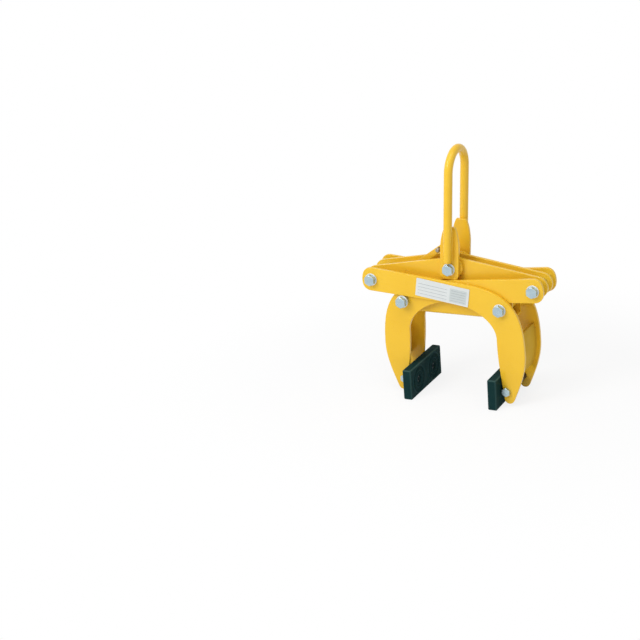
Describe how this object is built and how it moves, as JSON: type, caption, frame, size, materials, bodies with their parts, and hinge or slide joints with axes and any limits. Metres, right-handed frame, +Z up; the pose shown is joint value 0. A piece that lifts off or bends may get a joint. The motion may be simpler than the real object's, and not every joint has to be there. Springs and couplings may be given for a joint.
{
  "type": "kerb lifting clamp",
  "caption": "Lifting clamp whose two hooked jaws turn on a square beam; raising the bail draws up crossed arms through links and closes hinged rubber pads on a kerb stone.",
  "frame": {"origin": "on the ground, midway between the two pads and between the front and rear faces", "axes": "+X towards the outer jaw's claw (right), +Y to the rear (nut side), +Z up"},
  "size_m": [0.45, 0.18, 0.6074],
  "materials": {
    "yellow_paint": "glossy golden-yellow powder coat over steel",
    "zinc_steel": "bright zinc plating, slightly blue",
    "dark_rubber": "matte dark green-black moulded rubber",
    "label_white": "plain white plate, bare of lettering"
  },
  "bodies": {
    "beam": {"spreader_beam": "yellow_paint", "shoulder_bush_left": "yellow_paint", "shoulder_bush_right": "yellow_paint", "shoulder_bolt_left": "zinc_steel", "shoulder_bolt_right": "zinc_steel", "shoulder_nut_left": "zinc_steel", "shoulder_nut_right": "zinc_steel", "shoulder_washer_left": "zinc_steel", "shoulder_washer_right": "zinc_steel", "shoulder_collar_front": "zinc_steel", "shoulder_collar_rear": "zinc_steel", "stop_ring_front": "zinc_steel", "stop_ring_rear": "zinc_steel"},
    "jaw_a": {"outer_jaw_front_plate": "yellow_paint", "outer_jaw_rear_plate": "yellow_paint", "outer_jaw_web": "yellow_paint", "outer_jaw_arm_bolt": "zinc_steel", "outer_jaw_arm_nut": "zinc_steel", "outer_jaw_arm_washer": "zinc_steel", "outer_jaw_spacer_front": "zinc_steel", "outer_jaw_spacer_middle": "zinc_steel", "outer_jaw_spacer_rear": "zinc_steel", "outer_jaw_pad_bolt": "zinc_steel", "outer_jaw_pad_nut": "zinc_steel", "label_plate": "label_white"},
    "jaw_b": {"inner_jaw_front_plate": "yellow_paint", "inner_jaw_rear_plate": "yellow_paint", "inner_jaw_web": "yellow_paint", "inner_jaw_arm_bolt": "zinc_steel", "inner_jaw_arm_nut": "zinc_steel", "inner_jaw_arm_washer": "zinc_steel", "inner_jaw_spacer_front": "zinc_steel", "inner_jaw_spacer_middle": "zinc_steel", "inner_jaw_spacer_rear": "zinc_steel", "inner_jaw_pad_bolt": "zinc_steel", "inner_jaw_pad_nut": "zinc_steel"},
    "link_left": {"left_link_front": "yellow_paint", "left_link_rear": "yellow_paint", "latch_pin": "zinc_steel"},
    "link_right": {"right_link_front": "yellow_paint", "right_link_rear": "yellow_paint", "catch_stud": "zinc_steel"},
    "latch": {"latch_hook": "yellow_paint", "latch_grip": "zinc_steel"},
    "top_pivot": {"top_sleeve": "zinc_steel", "top_bolt": "zinc_steel", "top_nut": "zinc_steel", "top_washer": "zinc_steel"},
    "bail": {"bail_bar": "yellow_paint", "bail_cheek_front": "yellow_paint", "bail_cheek_rear": "yellow_paint"},
    "pad_right": {"rubber_pad_right": "dark_rubber", "pad_carrier_right": "yellow_paint", "pad_screw_right_a": "zinc_steel", "pad_screw_right_b": "zinc_steel"},
    "pad_left": {"rubber_pad_left": "dark_rubber", "pad_carrier_left": "yellow_paint", "pad_screw_left_a": "zinc_steel", "pad_screw_left_b": "zinc_steel"}
  },
  "joints": [
    {"name": "fold", "type": "hinge", "parent": "beam", "child": "jaw_a", "pos_m": [0.122, 0, 0.2375], "axis": [0, 1, 0], "range_deg": [0, 20]},
    {"name": "jaw_b_fold", "type": "hinge", "parent": "beam", "child": "jaw_b", "pos_m": [-0.122, 0, 0.2375], "axis": [0, 1, 0], "range_deg": [-20, 0]},
    {"name": "left_link_turn", "type": "hinge", "parent": "jaw_a", "child": "link_left", "pos_m": [-0.2, 0, 0.2865], "axis": [0, 1, 0], "range_deg": [-47.5, 0]},
    {"name": "right_link_turn", "type": "hinge", "parent": "jaw_b", "child": "link_right", "pos_m": [0.2, 0, 0.2865], "axis": [0, 1, 0], "range_deg": [0, 45.72]},
    {"name": "top_pivot_turn", "type": "hinge", "parent": "link_left", "child": "top_pivot", "pos_m": [-0.006, 0, 0.3205], "axis": [0, 1, 0], "range_deg": [0, 27.5]},
    {"name": "bail_swing", "type": "hinge", "parent": "top_pivot", "child": "bail", "pos_m": [-0.006, 0, 0.3205], "axis": [0, 1, 0], "range_deg": [-75, 75]},
    {"name": "latch_turn", "type": "hinge", "parent": "link_left", "child": "latch", "pos_m": [-0.118, 0, 0.30087], "axis": [0, 1, 0], "range_deg": [0, 6]},
    {"name": "right_pad_swivel", "type": "hinge", "parent": "jaw_a", "child": "pad_right", "pos_m": [0.1315, 0, 0.0375], "axis": [0, 1, 0], "range_deg": [-20, 0]},
    {"name": "left_pad_swivel", "type": "hinge", "parent": "jaw_b", "child": "pad_left", "pos_m": [-0.1315, 0, 0.0375], "axis": [0, 1, 0], "range_deg": [0, 20]}
  ],
  "couplings": [
    {"joint": "jaw_b_fold", "follows": "fold", "ratio": -1},
    {"joint": "left_link_turn", "follows": "fold", "ratio": -2.375},
    {"joint": "right_link_turn", "follows": "fold", "ratio": 2.286},
    {"joint": "top_pivot_turn", "follows": "fold", "ratio": 1.375}
  ]
}
